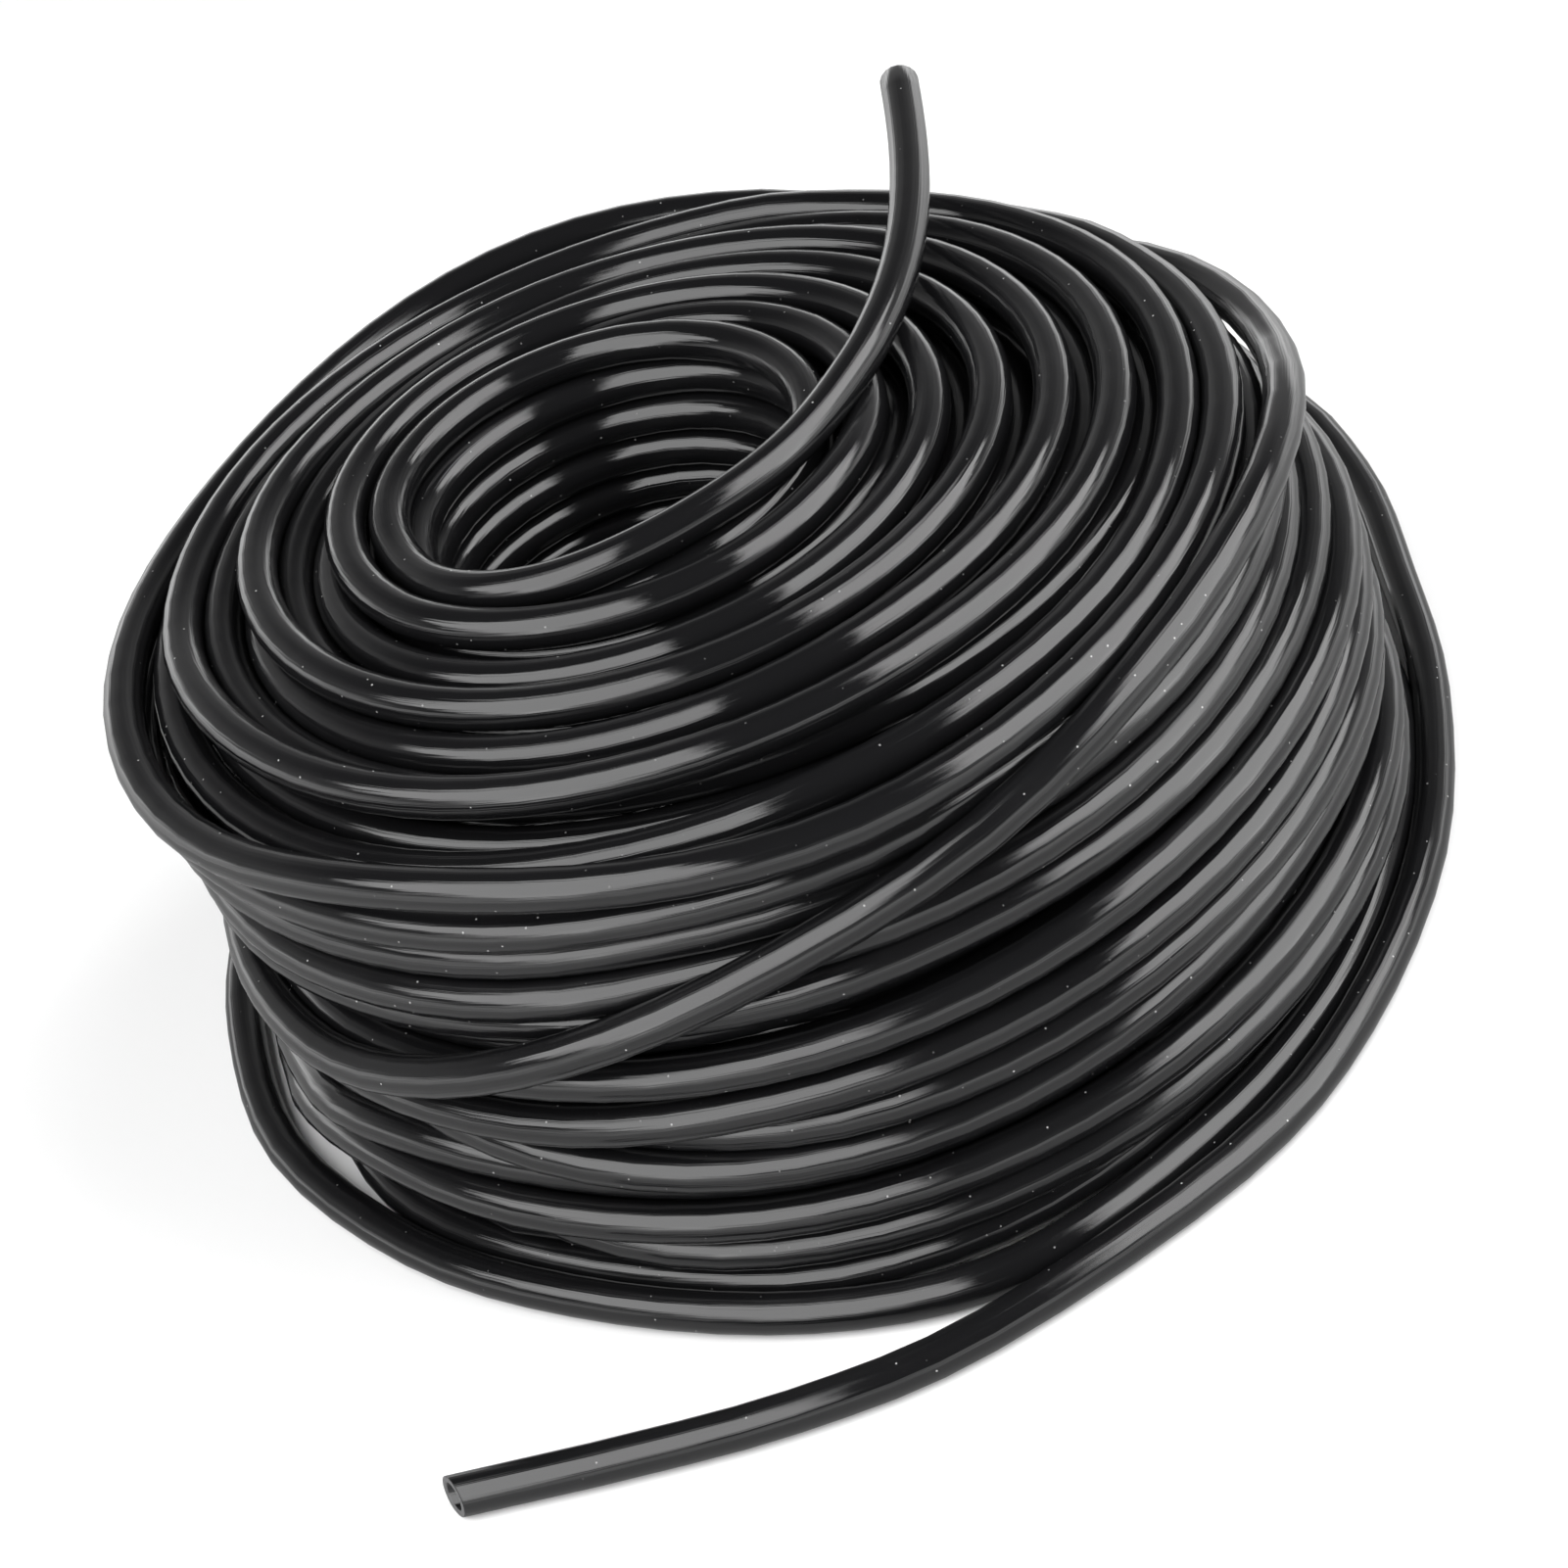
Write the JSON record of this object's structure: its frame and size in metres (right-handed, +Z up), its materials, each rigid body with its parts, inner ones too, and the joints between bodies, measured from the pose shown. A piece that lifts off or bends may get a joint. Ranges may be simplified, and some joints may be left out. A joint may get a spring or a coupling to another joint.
{
  "type": "coiled watering hose",
  "caption": "Small-bore black vinyl watering hose in one plain length, cross-wound into a drum-shaped coil with an open centre, a loose outer loop on the floor and two bare cut ends",
  "frame": {"origin": "where the axis of the coil's rim meets the floor that the coil stands on", "axes": "+Z up out of the floor along the coil's axis; -Y towards the side where the outer cut end lies; +X to the right seen from there"},
  "size_m": [0.2163, 0.253, 0.103],
  "materials": {
    "hose": "gloss"
  },
  "bodies": {
    "root": {"wound_coil": "hose", "inner_run": "hose", "inner_mouth": "hose", "outer_wrap": "hose", "base_loop": "hose", "outer_tail": "hose", "outer_mouth": "hose"}
  },
  "joints": []
}
